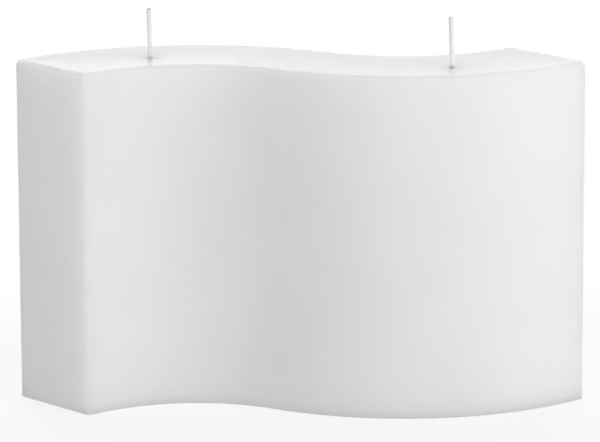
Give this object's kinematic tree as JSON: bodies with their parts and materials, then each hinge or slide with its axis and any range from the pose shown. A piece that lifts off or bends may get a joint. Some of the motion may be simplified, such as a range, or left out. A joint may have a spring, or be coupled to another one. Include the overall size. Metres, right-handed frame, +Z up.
{
  "type": "candle",
  "caption": "White wax block candle in the shape of an upright wave band, with waxed cotton wicks on its centre line and steel wick tabs in its base.",
  "frame": {"origin": "on the base plane, at the middle of the wave where its two bends meet", "axes": "+X along the wave from the left wick to the right one, +Y to the back, +Z up"},
  "size_m": [0.2424, 0.0844, 0.171],
  "materials": {
    "block_wax": "smooth satin white wax",
    "film_wax": "thin white wax film over the braid",
    "seal_wax": "glossy poured white wax",
    "wick_cotton": "braided cotton",
    "tab_steel": "pressed tinned steel"
  },
  "bodies": {
    "root": {"wax_body": "block_wax", "left_wick_braid": "wick_cotton", "left_wick_film": "film_wax", "left_wick_seal": "seal_wax", "left_wick_tab": "tab_steel", "right_wick_braid": "wick_cotton", "right_wick_film": "film_wax", "right_wick_seal": "seal_wax", "right_wick_tab": "tab_steel"}
  },
  "joints": []
}
